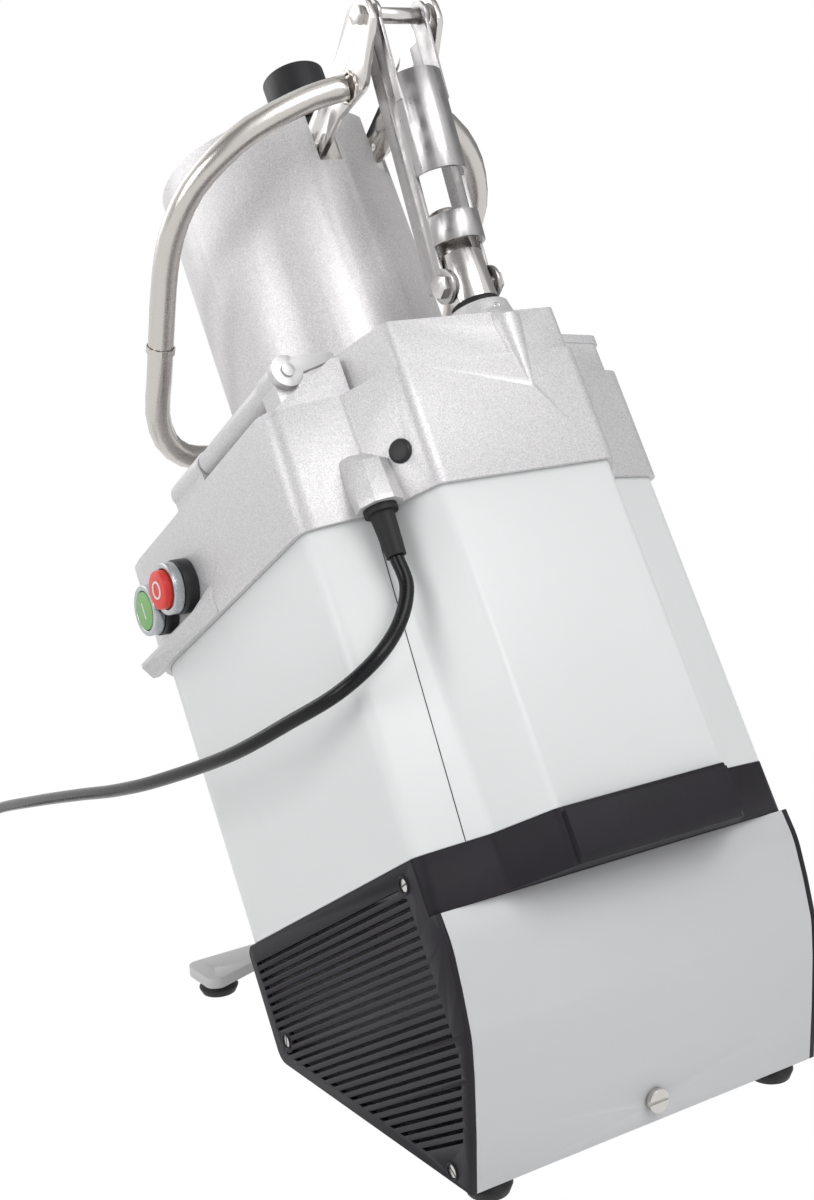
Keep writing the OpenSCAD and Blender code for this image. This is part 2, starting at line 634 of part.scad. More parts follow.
pestle_top = 655;
module pestle() color("black") leaned() translate([tube_u, -tube_v - 4, 0]) {
  translate([0, 0, pusher_w + 2]) cylinder(r = tube_r - 3, h = rim_w - pusher_w + 20);
  translate([0, 0, rim_w + 20]) cylinder(r = tube_r - 1, h = pestle_top - rim_w - 20);
}

// Lever, link and column
top_v = -60;
top_w = 597;
eye_r = 13;
top_pin_r = 6;
module lever_plate(u) translate([u - plate_t / 2, 0, 0]) difference() {
  rotate([90, 0, 90]) linear_extrude(plate_t) polygon(rounded([
    [-pin_v - 9, pin_w - 12, 8], [-pin_v + 12, pin_w - 14, 8], [-10, pin_w - 6, 20],
    [34, pin_w - 10, 16],
    [-top_v + 13, top_w - 12, 12], [-top_v + 13, top_w + 13, 12], [-top_v - 13, top_w + 13, 12],
    [8, top_w - 5, 14], [-pin_v - 9, pin_w + 12, 9]]));
  translate([-over, -top_v, top_w]) rotate([0, 90, 0]) cylinder(r = top_pin_r + 0.05, h = 20);
  translate([-over, -pin_v, pin_w]) rotate([0, 90, 0]) cylinder(r = pin_r + 0.05, h = 20);
}
module lever_plates() color("silver") leaned() for (s = [-1, 1]) lever_plate(boss_u + s * plate_half);
bolt_head = 13;
bolt_h = 5;
module lever_bolts() color("silver") leaned() for (s = [-1, 1])
  translate([boss_u + s * (plate_half + plate_t / 2), -top_v, top_w]) rotate([0, s * 90, 0]) {
    hex_head(bolt_head, bolt_h);
    translate([0, 0, -plate_t]) cylinder(r = top_pin_r - 0.05, h = plate_t + over);
  }

// Loop handle: half of its middle line, then mirrored, swept as one tube
loop_half = [[6, -17, 565], [24, -10, 564], [46, -4, 559], [80, 11, 549], [104, 29, 537],
  [120, 50, 526], [129, 73, 513], [131, 100, 500], [131, 124, 483], [131, 145, 464],
  [131, 160, 450], [130, 180, 434], [124, 213, 420], [108, 246, 410], [86, 266, 403],
  [60, 273, 401], [30, 275, 401]];
// The loop reaches further to the left than to the right, round the column
loop_shift = 14;
loop_ramp = 80;
function far_side(u) = u + loop_shift * min(1, u / loop_ramp);
function loop_pts() = let (n = len(loop_half))
  concat([for (i = [0:n - 1]) lean_pt(loop_half[i][0], loop_half[i][1], loop_half[i][2])],
    [for (i = [n - 1:-1:0]) lean_pt(-far_side(loop_half[i][0]), loop_half[i][1], loop_half[i][2])]);
function tangent(p, i) = let (n = len(p)) unit(p[min(i + 1, n - 1)] - p[max(i - 1, 0)]);
// A tube along a list of points, each ring turned as little as possible from the last
function carried(p, i, r) = let (t = tangent(p, i), c = r - t * (r * t)) unit(c);
function frames(p, r0) = [for (i = 0, r = carried(p, 0, r0); i < len(p);
  i = i + 1, r = i < len(p) ? carried(p, i, r) : r) r];
module tube(p, r, sides, r0 = [0.1, 0.2, 1]) {
  f = frames(p, r0);
  pts = [for (i = [0:len(p) - 1]) let (t = tangent(p, i), a = f[i], b = cross(t, a))
    for (k = [0:sides - 1]) p[i] + r * (a * cos(360 * k / sides) + b * sin(360 * k / sides))];
  n = len(p);
  faces = concat([[for (k = [0:sides - 1]) k]],
    [for (i = [0:n - 2]) for (k = [0:sides - 1]) let (a = i * sides + k,
      b = i * sides + (k + 1) % sides) each [[a, a + sides, b], [b, a + sides, b + sides]]],
    [[for (k = [sides - 1:-1:0]) (n - 1) * sides + k]]);
  polyhedron(points = pts, faces = faces, convexity = 8);
}
// Points between the given ones on a smooth curve through them
function smooth_at(p, i, t) = let (n = len(p), a = p[max(i - 1, 0)], b = p[i], c = p[min(i + 1, n - 1)],
  d = p[min(i + 2, n - 1)])
  0.5 * (2 * b + (c - a) * t + (2 * a - 5 * b + 4 * c - d) * t * t + (3 * b - a - 3 * c + d) * t * t * t);
function smoothed(p, n) = concat([for (i = [0:len(p) - 2]) for (k = [0:n - 1]) smooth_at(p, i, k / n)],
  [p[len(p) - 1]]);
module loop_handle() color("silver") difference() {
  tube(smoothed(loop_pts(), 2), loop_r, 16);
  leaned() block(boss_u - plate_half - plate_t / 2 - gap / 3, boss_u + plate_half + plate_t / 2 + gap / 3,
    -2 * loop_r, 4 * loop_r, pin_w - 2 * loop_r, pin_w + 3 * loop_r);
}
sleeve_at = 10;
sleeve_h = 5;
module handle_sleeves() color("silver") for (m = [0, 1]) mirror([m, 0, 0]) {
  p = loop_half[sleeve_at];
  q = loop_half[sleeve_at + 1];
  t = unit([0, q[1] - p[1], q[2] - p[2]]) * sleeve_h / 2;
  u = m == 0 ? p[0] : far_side(p[0]);
  a = lean_pt(u, p[1] - t[1], p[2] - t[2]);
  b = lean_pt(u, p[1] + t[1], p[2] + t[2]);
  d = unit(b - a) * over;
  difference() {
    tube([a, b], loop_r + 5 * gap, 16);
    tube([a - d, b + d], loop_r + 2 * gap, 16);
  }
}
link_foot_v = boss_v;
link_foot_up = 23;
link_foot_w = boss_w + link_foot_up;
link_len = norm([top_v - link_foot_v, top_w - link_foot_w]);
link_tilt = atan2(link_foot_v - top_v, top_w - link_foot_w);
link_out = 21.5;
link_in = 18.8;
link_band = [30, 51];
link_window_top = 84;
link_back_top = 162;
module at_link() leaned() translate([boss_u, -link_foot_v, link_foot_w]) rotate([-link_tilt, 0, 0]) children();
module link() color("silver") at_link() difference() {
  union() {
    difference() {
      union() {
        translate([0, 0, link_band[0]]) cylinder(r = link_out, h = link_back_top - link_band[0]);
        for (s = [-1, 1]) block(min(s * link_in, s * link_out), max(s * link_in, s * link_out),
          -20, 2, 0, link_len - 16);
      }
      translate([0, 0, -over]) cylinder(r = link_in, h = link_len + 20);
      block(-link_in, link_in, -60, 0, -over, link_len);
      block(-60, 60, -60, -20, -over, link_len);
      block(-60, 60, 2, 60, link_band[1], link_window_top);
    }
    for (s = [-1, 1]) translate([s * (link_in + link_out) / 2, 0, 0]) rotate([0, 90, 0])
      translate([0, 0, -(link_out - link_in) / 2]) cylinder(r = 13, h = link_out - link_in);
    for (s = [-1, 1]) translate([s * (link_in + link_out) / 2, 0, 0])
      block(-(link_out - link_in) / 2, (link_out - link_in) / 2, -9, 9, link_back_top - 20, link_len);
    for (s = [-1, 1]) translate([s * (link_in + link_out) / 2, 0, link_len]) rotate([0, 90, 0])
      translate([0, 0, -(link_out - link_in) / 2]) cylinder(r = 11, h = link_out - link_in);
  }
  for (w = [0, link_len]) translate([-60, 0, w]) rotate([0, 90, 0]) cylinder(r = top_pin_r, h = 120);
}
module link_bolts() color("silver") at_link() for (s = [-1, 1])
  translate([s * (link_out + gap / 2), 0, 0]) rotate([0, s * 90, 0]) {
    hex_head(bolt_head + 3, bolt_h);
    translate([0, 0, -link_out + collar_r - 3]) cylinder(r = top_pin_r - 0.05, h = link_out - collar_r + 4);
  }
module top_spacer() color("silver") at_link() translate([-link_out, 0, link_len]) rotate([0, 90, 0])
  cylinder(r = top_pin_r - 0.05, h = 2 * link_out);
seal_h = 6;
collar_h = 38;
column_sunk = 50;
column_neck = 28;
column_top = 59;
press_gap = 0.05;
// The column's end is drawn in, so that the tipped link passes it
module column_shaft() color("silver") leaned() translate([boss_u, -boss_v, 0]) {
  translate([0, 0, block_w - column_sunk])
    cylinder(r = column_r, h = link_foot_w + column_neck - block_w + column_sunk);
  translate([0, 0, link_foot_w + column_neck])
    cylinder(r1 = column_r, r2 = column_r - 2, h = column_top - column_neck);
}
module column_collar() color("silver") leaned() difference() {
  translate([boss_u, -boss_v, boss_w + seal_h]) cylinder(r = collar_r, h = collar_h);
  translate([boss_u, -boss_v, boss_w]) cylinder(r = column_r + press_gap, h = 2 * collar_h);
  translate([boss_u - 2 * collar_r, -boss_v, link_foot_w]) rotate([0, 90, 0])
    cylinder(r = top_pin_r, h = 4 * collar_r);
}
module collar_seal() color("black") leaned() translate([boss_u, -boss_v, boss_w + gap])
  ring(collar_r, column_r + press_gap, seal_h - gap);

// Buttons on the right side
module at_button(v) leaned() translate([body_half + proud, -v, switch_w]) rotate([0, 90, 0]) children();
base_ring_h = 11;
bezel_h = 9;
cap_r = bezel_r - 4;
module button_bodies() color("black") for (v = switch_v) at_button(v) translate([0, 0, gap])
  ring(ring_r, stem_r, base_ring_h);
module button_bezels() color("silver") for (v = switch_v) at_button(v)
  translate([0, 0, gap + base_ring_h]) ring(bezel_r + 1, cap_r + 0.5, bezel_h);
module button_cap(rise) {
  translate([0, 0, base_ring_h + 4]) cylinder(r = cap_r, h = bezel_h - 5 + rise);
  translate([0, 0, -4]) cylinder(r = stem_r - 3, h = base_ring_h + 10);
}
module stop_button() color("red") at_button(switch_v[0]) button_cap(7);
module start_button() color("limegreen") at_button(switch_v[1]) button_cap(1.5);

// Strain relief and cord
cord_r = 5;
relief_len = 36;
module strain_relief() color("black") leaned() difference() {
  translate([gland_place[0], gland_place[1], body_h - relief_len]) {
    cylinder(r1 = cord_r + 2, r2 = gland_r, h = relief_len);
    translate([0, 0, relief_len - 5]) cylinder(r = gland_r + 3, h = 5 - gap);
  }
  translate([gland_place[0], gland_place[1], body_h - relief_len - over]) cylinder(r = cord_r + 0.2, h = 21);
}
cord_route = [[106, 13, 428], [106, 22, 411], [107, 34, 392], [121, 44, 371], [145, 52, 353],
  [170, 42, 333], [188, 7, 311], [205, -53, 280], [215, -154, 243], [217, -235, 218],
  [215, -321, 195], [210, -440, 162], [203, -575, 122], [203, -620, 98], [203, -655, 66],
  [202, -683, 34], [206, -703, 12], [234, -710, 6.4], [275, -710, 6.4]];
coil_centre = [275, -650, 6.4];
coil_r = 60;
coil_pitch = 10.8;
coil_lower = 450;
coil_climb = 180;
coil_turns = 3;
tail_len = 44;
function coil_radius(a) = a < coil_lower ? coil_r - coil_pitch * a / 360
  : a > coil_lower + coil_climb ? coil_r - coil_pitch * (360 * coil_turns - a) / 360
  : coil_r - coil_pitch * coil_lower / 360;
function coil_rise(a) = coil_pitch * min(1, max(0, (a - coil_lower) / coil_climb));
function coil_pt(a) = coil_centre + [coil_radius(a) * cos(a - 90), coil_radius(a) * sin(a - 90), coil_rise(a)];
coil_steps = 24;
function coil_points() = concat([for (i = [0:coil_steps * coil_turns]) coil_pt(i * 360 / coil_steps)],
  [for (t = [1:2]) coil_pt(360 * coil_turns) + [tail_len * t / 2, 0, 0]]);
// Least gap of the coil to itself, between its centre points half a turn or more apart
coil_list = coil_points();
coil_last = len(coil_list) - 1;
coil_gap = min([for (i = [0:coil_last - coil_steps / 2]) for (j = [i + coil_steps / 2:coil_last])
  norm(coil_list[i] - coil_list[j])]) - 2 * cord_r;
echo("least gap of the cord coil to itself, mm", coil_gap);
module power_cord() color("black") tube(smoothed(cord_route, 3), cord_r, 10, [1, 0.1, 0]);
module cord_coil() color("black") tube(coil_points(), cord_r, 6, [0, 0.1, 1]);
plug_len = 46;
plug_body_r = 17;
plug_pin_r = 2.4;
plug_pin_len = 19;
plug_pin_gap = 19;
module power_plug() color("black") translate(coil_pt(360 * coil_turns) + [tail_len, 0, 0])
  rotate([0, 90, 0]) {
    cylinder(r1 = cord_r + 2, r2 = plug_body_r - 4, h = plug_len / 2);
    translate([0, 0, plug_len / 2]) cylinder(r = plug_body_r, h = plug_len / 2);
    for (s = [-1, 1]) translate([0, s * plug_pin_gap / 2, plug_len])
      cylinder(r = plug_pin_r, h = plug_pin_len, $fn = 24);
  }
tie_t = 1.2;
module cord_tie() color("dimgray") translate([coil_centre[0], coil_centre[1], 0]) rotate(60) {
  lo = coil_r - coil_pitch * coil_lower / 360 - cord_r - 2;
  hi = coil_r + cord_r + 1;
  top = coil_centre[2] + coil_pitch + cord_r + gap;
  difference() {
    block(lo - tie_t, hi + tie_t, -5, 5, 0, top + tie_t);
    block(lo, hi, -5 - over, 5 + over, tie_t, top);
  }
}

base_bottom_plate();
rubber_feet();
foot_screws();
front_foot_bar();
back_panel();
back_panel_screw();
right_grille();
left_grille();
grille_screws();
front_panel();
base_band();
body_shell();
motor_plate();
plate_posts();
motor_stator();
motor_rotor();
motor_fan();
motor_pulley();
drive_belt();
drive_pulley();
drive_shaft();
bearing_housing();
shaft_bearings();
shaft_seal();
control_box();
top_casting();
round_plug_cap();
outlet_chute();
ejector_plate();
slicing_disc();
disc_blades();
disc_knob();
feed_flange();
feed_cylinder();
hinge_pins();
head_latch();
pusher_plate();
feed_tube();
pusher_stem();
pusher_pin();
pestle();
lever_plates();
lever_bolts();
loop_handle();
handle_sleeves();
link();
link_bolts();
top_spacer();
column_shaft();
column_collar();
collar_seal();
start_button();
stop_button();
button_bezels();
button_bodies();
strain_relief();
power_cord();
cord_coil();
power_plug();
cord_tie();
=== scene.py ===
"""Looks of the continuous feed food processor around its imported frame.

Lengths are metres. The machine body, its casting and its feed head are worked out in the leaned
frame of the body: u runs to +X, v forwards from the shoulder line, w up along the body.
"""
import json
import math

import bmesh
import bpy
import numpy as np
from mathutils import Matrix, Vector


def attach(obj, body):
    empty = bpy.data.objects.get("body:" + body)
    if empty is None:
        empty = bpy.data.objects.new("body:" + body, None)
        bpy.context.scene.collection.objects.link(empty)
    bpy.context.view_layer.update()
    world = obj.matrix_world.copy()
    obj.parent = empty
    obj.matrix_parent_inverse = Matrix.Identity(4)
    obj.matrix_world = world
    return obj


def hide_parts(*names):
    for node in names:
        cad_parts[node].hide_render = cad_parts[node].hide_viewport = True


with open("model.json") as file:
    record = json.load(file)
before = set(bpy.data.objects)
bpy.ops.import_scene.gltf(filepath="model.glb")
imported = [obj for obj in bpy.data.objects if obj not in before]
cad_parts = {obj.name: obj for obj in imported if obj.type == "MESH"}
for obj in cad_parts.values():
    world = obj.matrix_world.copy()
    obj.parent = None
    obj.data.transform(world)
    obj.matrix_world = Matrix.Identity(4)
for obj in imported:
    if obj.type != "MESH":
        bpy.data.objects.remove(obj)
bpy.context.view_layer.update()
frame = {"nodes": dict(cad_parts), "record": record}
MM = 0.001

# Leaned frame of the body
LEAN = math.radians(28.3)
SHOULDER_Y = 89.5
SHOULDER_Z = 229.4
U_AXIS = np.array([1.0, 0.0, 0.0])
V_AXIS = np.array([0.0, -math.cos(LEAN), -math.sin(LEAN)])
W_AXIS = np.array([0.0, -math.sin(LEAN), math.cos(LEAN)])
LEAN_ORIGIN = np.array([0.0, SHOULDER_Y, SHOULDER_Z])


def leaned(u, v, w):
    """World place in metres of a point given in the leaned frame in millimetres."""
    place = LEAN_ORIGIN + u * U_AXIS + v * V_AXIS + w * W_AXIS
    return place * MM


# Camera, at the photograph's place
CAMERA_PLACE = (0.7093, 1.0030, 0.5991)
CAMERA_YAW = -0.553
CAMERA_PITCH = -0.176
CAMERA_ROLL = -0.0726
FOCAL_PX = 1757.0
CENTRE_PX = (400.9, 581.0)
PHOTO_W = 814
PHOTO_H = 1200


def add_camera():
    cam = bpy.data.cameras.new("photo_camera")
    ob = bpy.data.objects.new("photo_camera", cam)
    bpy.context.collection.objects.link(ob)
    yaw, pitch, roll = CAMERA_YAW, CAMERA_PITCH, CAMERA_ROLL
    ahead = Vector((math.sin(yaw) * math.cos(pitch), -math.cos(yaw) * math.cos(pitch),
                    math.sin(pitch)))
    level = ahead.cross(Vector((0, 0, 1))).normalized()
    above = level.cross(ahead)
    right = level * math.cos(roll) + above * math.sin(roll)
    up = above * math.cos(roll) - level * math.sin(roll)
    turn = Matrix((right, up, -ahead)).transposed().to_4x4()
    ob.matrix_world = Matrix.Translation(CAMERA_PLACE) @ turn
    cam.sensor_width = 36.0
    cam.lens = FOCAL_PX * cam.sensor_width / PHOTO_H
    cam.shift_x = (PHOTO_W / 2 - CENTRE_PX[0]) / PHOTO_H
    cam.shift_y = (CENTRE_PX[1] - PHOTO_H / 2) / PHOTO_H
    cam.clip_start = 0.01
    bpy.context.scene.camera = ob


add_camera()
bpy.context.scene.view_settings.view_transform = "Standard"


# Materials
class Finish:
    """A node material with one Principled shader and short helpers for its procedural parts."""

    def __init__(self, name, color, rough, metal=0.0):
        self.mat = bpy.data.materials.new(name)
        self.mat.use_nodes = True
        self.tree = self.mat.node_tree
        self.shader = self.tree.nodes["Principled BSDF"]
        self.shader.inputs["Base Color"].default_value = (*color, 1)
        self.shader.inputs["Roughness"].default_value = rough
        self.shader.inputs["Metallic"].default_value = metal
        self.coords = self.node("ShaderNodeTexCoord").outputs["Object"]

    def node(self, kind, **values):
        made = self.tree.nodes.new(kind)
        for key, value in values.items():
            if key in made.inputs:
                made.inputs[key].default_value = value
            else:
                setattr(made, key, value)
        return made

    def link(self, out, into):
        self.tree.links.new(out, into)

    def noise(self, scale, detail=2.0, stretch=None):
        tex = self.node("ShaderNodeTexNoise", Scale=scale, Detail=detail)
        self.link(self.placed(stretch), tex.inputs["Vector"])
        return tex.outputs["Fac"]

    def cells(self, scale):
        tex = self.node("ShaderNodeTexVoronoi", Scale=scale)
        self.link(self.coords, tex.inputs["Vector"])
        return tex.outputs["Color"]

    def placed(self, stretch):
        if stretch is None:
            return self.coords
        mapping = self.node("ShaderNodeMapping")
        mapping.inputs["Scale"].default_value = stretch
        mapping.inputs["Rotation"].default_value = (-LEAN, 0, 0)
        self.link(self.coords, mapping.inputs["Vector"])
        return mapping.outputs["Vector"]

    def ramp(self, value, low, high, dark, light):
        ramp = self.node("ShaderNodeMapRange")
        self.link(value, ramp.inputs["Value"])
        ramp.inputs["From Min"].default_value = low
        ramp.inputs["From Max"].default_value = high
        ramp.inputs["To Min"].default_value = dark
        ramp.inputs["To Max"].default_value = light
        return ramp.outputs["Result"]

    def tint(self, value, low, high, first, second):
        mix = self.node("ShaderNodeMix", data_type="RGBA")
        self.link(self.ramp(value, low, high, 0, 1), mix.inputs["Factor"])
        ends = {"A": first, "B": second}
        for socket in mix.inputs:
            if socket.type == "RGBA" and socket.name in ends:
                socket.default_value = (*ends[socket.name], 1)
        out = [s for s in mix.outputs if s.type == "RGBA"][0]
        self.link(out, self.shader.inputs["Base Color"])
        return self

    def rough(self, value, low, high, first, second):
        self.link(self.ramp(value, low, high, first, second), self.shader.inputs["Roughness"])
        return self

    def bump(self, value, height, strength=1.0):
        bump = self.node("ShaderNodeBump", Strength=strength, Distance=height)
        self.link(value, bump.inputs["Height"])
        self.link(bump.outputs["Normal"], self.shader.inputs["Normal"])
        return self


def shade(color, factor):
    return tuple(min(1.0, c * factor) for c in color)


def silver_casting(name, base, metal):
    """Aluminium casting sprayed with a silver paint full of fine sparkling flakes."""
    fin = Finish(name, base, 0.42, metal)
    flakes = fin.node("ShaderNodeSeparateColor")
    fin.link(fin.cells(2200), flakes.inputs[0])
    fin.tint(flakes.outputs[0], 0.1, 0.95, shade(base, 0.80), shade(base, 1.18))
    fin.rough(flakes.outputs[1], 0.0, 1.0, 0.32, 0.58)
    fin.bump(fin.noise(900, 3), 0.00018, 0.35)
    return fin.mat


def paint(name, color, rough=0.36):
    """Smooth powder paint with a faint orange peel."""
    fin = Finish(name, color, rough, 0.0)
    fin.tint(fin.noise(6, 3), 0.3, 0.7, shade(color, 0.985), shade(color, 1.01))
    fin.rough(fin.noise(220, 2), 0.3, 0.7, rough - 0.03, rough + 0.05)
    fin.bump(fin.noise(500, 2), 0.00006, 0.25)
    return fin.mat


def moulded(name, color, rough=0.5, grain=1400, shine=0.35):
    """Moulded plastic or rubber with a fine spark-eroded grain."""
    fin = Finish(name, color, rough, 0.0)
    fin.tint(fin.noise(30, 3), 0.3, 0.7, shade(color, 0.9), shade(color, 1.12))
    fin.rough(fin.noise(grain, 2), 0.3, 0.7, rough - 0.06, rough + 0.08)
    fin.bump(fin.noise(grain, 2), 0.0001, 0.35)
    fin.shader.inputs["Specular IOR Level"].default_value = shine
    return fin.mat


def steel(name, color, rough, streaks=0.0):
    """Stainless steel, polished or brushed along the body's length."""
    fin = Finish(name, color, rough, 1.0)
    if streaks:
        lines = fin.noise(60, 3, (40, 40, 1.5))
        fin.rough(lines, 0.25, 0.75, rough - streaks, rough + streaks)
        fin.bump(lines, 0.00004, 0.3)
    else:
        fin.rough(fin.noise(90, 3), 0.3, 0.7, rough * 0.7, rough * 1.4)
        fin.bump(fin.noise(40, 2), 0.00005, 0.2)
    return fin.mat


MAT = {
    "silver_casting": silver_casting("silver_casting", (0.67, 0.66, 0.665), 0.35),
    "feed_silver": silver_casting("feed_silver", (0.74, 0.725, 0.73), 0.45),
    "body_paint": paint("body_paint", (0.80, 0.815, 0.81)),
    "panel_paint": paint("panel_paint", (0.625, 0.63, 0.635), 0.42),
    "cast_paint": paint("cast_paint", (0.62, 0.62, 0.61), 0.45),
    "charcoal_plastic": moulded("charcoal_plastic", (0.018, 0.016, 0.02), 0.52, 1400, 0.2),
    "black_plastic": moulded("black_plastic", (0.02, 0.02, 0.022), 0.4),
    "inner_plastic": moulded("inner_plastic", (0.06, 0.06, 0.065), 0.5),
    "black_rubber": moulded("black_rubber", (0.016, 0.015, 0.016), 0.55, 800),
    "cord_black": moulded("cord_black", (0.008, 0.008, 0.009), 0.24, 600, 0.22),
    "white_plastic": moulded("white_plastic", (0.78, 0.78, 0.76), 0.4),
    "red_button": moulded("red_button", (0.72, 0.045, 0.035), 0.3),
    "green_button": moulded("green_button", (0.22, 0.46, 0.16), 0.35),
    "white_mark": moulded("white_mark", (0.85, 0.85, 0.83), 0.4),
    "bezel_silver": steel("bezel_silver", (0.50, 0.515, 0.53), 0.26),
    "polished_steel": steel("polished_steel", (0.66, 0.64, 0.62), 0.2),
    "satin_steel": steel("satin_steel", (0.61, 0.58, 0.55), 0.28, 0.05),
    # The link's steel is the polished steel made darker and duller: painted shade on the link.
    "link_shaded_steel": steel("link_shaded_steel", (0.45, 0.44, 0.44), 0.3),
    "lever_silver": steel("lever_silver", (0.58, 0.575, 0.575), 0.45),
    "screw_steel": steel("screw_steel", (0.62, 0.60, 0.57), 0.25),
    "plate_steel": steel("plate_steel", (0.55, 0.55, 0.55), 0.35, 0.06),
    "motor_paint": paint("motor_paint", (0.10, 0.12, 0.14), 0.5),
}


# Meshes
def new_piece(name, verts, faces, slot, body, smooth=True):
    mesh = bpy.data.meshes.new(name)
    mesh.from_pydata([tuple(p) for p in verts], [], [tuple(f) for f in faces])
    mesh.validate()
    mesh.update()
    ob = bpy.data.objects.new(name, mesh)
    bpy.context.collection.objects.link(ob)
    mesh.materials.append(MAT[slot])
    mesh.polygons.foreach_set("use_smooth", [smooth] * len(mesh.polygons))
    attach(ob, body)
    return ob


NODE_SLOT = {s["node"]: s["material_slot"] for s in frame["record"]["subparts"]}
# The link takes the darker steel, which paints shade on it.
NODE_LOOK = {"link": "link_shaded_steel", "hinge_pins": "lever_silver", "feed_cylinder": "feed_silver"}
NODE_BODY = {n: b for b, nodes in frame["record"]["behaviour"]["bodies"].items() for n in nodes}


SAME_POINT = 0.00002
FLAT_ANGLE = math.radians(0.6)
EDGE_ANGLE = math.radians(28)


def rounded_copy(node, width, segments):
    """A merged copy of a CAD node with its sharp edges rounded to a small radius in millimetres."""
    source = frame["nodes"][node]
    bm = bmesh.new()
    bm.from_mesh(source.data)
    bmesh.ops.remove_doubles(bm, verts=bm.verts, dist=SAME_POINT)
    bmesh.ops.dissolve_limit(bm, angle_limit=FLAT_ANGLE, verts=bm.verts, edges=bm.edges)
    mesh = bpy.data.meshes.new(node + "_skin")
    bm.to_mesh(mesh)
    bm.free()
    ob = bpy.data.objects.new(node + "_skin", mesh)
    bpy.context.collection.objects.link(ob)
    mesh.materials.clear()
    mesh.materials.append(MAT[NODE_LOOK.get(node, NODE_SLOT[node])])
    mesh.polygons.foreach_set("use_smooth", [True] * len(mesh.polygons))
    bevel = ob.modifiers.new("edge_round", "BEVEL")
    bevel.width = width * MM
    bevel.segments = segments
    bevel.limit_method = "ANGLE"
    bevel.angle_limit = EDGE_ANGLE
    bevel.harden_normals = True
    bevel.use_clamp_overlap = True
    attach(ob, NODE_BODY[node])
    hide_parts(node)


def smooth_rows(points, steps):
    """Catmull-Rom curve through points, steps samples a span, computed as whole arrays."""
    p = np.asarray(points, float)
    ext = np.vstack([2 * p[0] - p[1], p, 2 * p[-1] - p[-2]])
    a, b, c, d = ext[:-3], ext[1:-2], ext[2:-1], ext[3:]
    t = (np.arange(steps) / steps)[None, :, None]
    a, b, c, d = (q[:, None, :] for q in (a, b, c, d))
    rows = 0.5 * (2 * b + (c - a) * t + (2 * a - 5 * b + 4 * c - d) * t**2
                  + (3 * b - a - 3 * c + d) * t**3)
    return np.vstack([rows.reshape(-1, 3), p[-1:]])


# A direction that no tube starts along
ODD_AXIS = (0.31, 0.17, 0.93)


def sweep(path, radius, sides):
    """Tube along path: rings of sides points whose frame turns as little as possible.

    The ends are closed with a fan.
    """
    p = np.asarray(path, float)
    n = len(p)
    tan = np.gradient(p, axis=0)
    tan /= np.linalg.norm(tan, axis=1)[:, None]
    side = np.cross(tan[0], ODD_AXIS)
    side /= np.linalg.norm(side)
    sides_dir = np.empty_like(p)
    for i in range(n):
        side = side - tan[i] * side.dot(tan[i])
        side /= np.linalg.norm(side)
        sides_dir[i] = side
    other = np.cross(tan, sides_dir)
    ang = 2 * np.pi * np.arange(sides) / sides
    ring = (sides_dir[:, None, :] * np.cos(ang)[None, :, None]
            + other[:, None, :] * np.sin(ang)[None, :, None])
    verts = (p[:, None, :] + radius * ring).reshape(-1, 3)
    i, k = np.meshgrid(np.arange(n - 1), np.arange(sides), indexing="ij")
    a = i * sides + k
    b = i * sides + (k + 1) % sides
    quads = np.stack([a, b, b + sides, a + sides], -1).reshape(-1, 4)
    verts = np.vstack([verts, p[0], p[-1]])
    first = [(len(verts) - 2, (k + 1) % sides, k) for k in range(sides)]
    last0 = (n - 1) * sides
    last = [(len(verts) - 1, last0 + k, last0 + (k + 1) % sides) for k in range(sides)]
    return verts, [tuple(q) for q in quads] + first + last


# Cord, first so that its spread is known
CORD_R = 5.0
CORD_SIDES = 16
ROUTE_STEPS = 8
COIL_STEPS = 48
TAIL_SHARES = np.linspace(0.1, 1, 6)
CORD_ROUTE = [(106, 13, 428), (106, 22, 411), (107, 34, 392), (121, 44, 371), (145, 52, 353),
              (170, 42, 333), (188, 7, 311), (205, -53, 280), (215, -154, 243), (217, -235, 218),
              (215, -321, 195), (210, -440, 162), (203, -575, 122), (203, -620, 98), (203, -655, 66),
              (202, -683, 34), (206, -703, 12), (234, -710, 6.4), (275, -710, 6.4)]
COIL_CENTRE = np.array([275.0, -650.0, 6.4])
COIL_R = 60.0
COIL_PITCH = 10.8
COIL_LOWER = 450.0
COIL_CLIMB = 180.0
COIL_TURNS = 3
TAIL_LEN = 44.0


def coil_rows(steps):
    """Coil as in the part: spiral in, climb a layer in a half turn, spiral out."""
    a = np.linspace(0, 360 * COIL_TURNS, steps * COIL_TURNS + 1)
    inner = COIL_R - COIL_PITCH * COIL_LOWER / 360
    r = np.where(a < COIL_LOWER, COIL_R - COIL_PITCH * a / 360,
                 np.where(a > COIL_LOWER + COIL_CLIMB,
                          COIL_R - COIL_PITCH * (360 * COIL_TURNS - a) / 360, inner))
    rise = COIL_PITCH * np.clip((a - COIL_LOWER) / COIL_CLIMB, 0, 1)
    t = np.radians(a - 90)
    rows = COIL_CENTRE + np.stack([r * np.cos(t), r * np.sin(t), rise], 1)
    tail = rows[-1] + np.outer(TAIL_SHARES, [TAIL_LEN, 0, 0])
    return np.vstack([rows, tail])


def add_cord():
    free = smooth_rows(CORD_ROUTE, ROUTE_STEPS)
    rows = np.vstack([free[:-1], coil_rows(COIL_STEPS)])
    verts, faces = sweep(rows * MM, CORD_R * MM, CORD_SIDES)
    cord = new_piece("mains_cord", verts, faces, "cord_black", "machine")
    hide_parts("power_cord", "cord_coil")
    length = float(np.linalg.norm(np.diff(rows, axis=0), axis=1).sum()) * MM
    return length


cord_length = add_cord()
print("cord length", round(cord_length, 3))

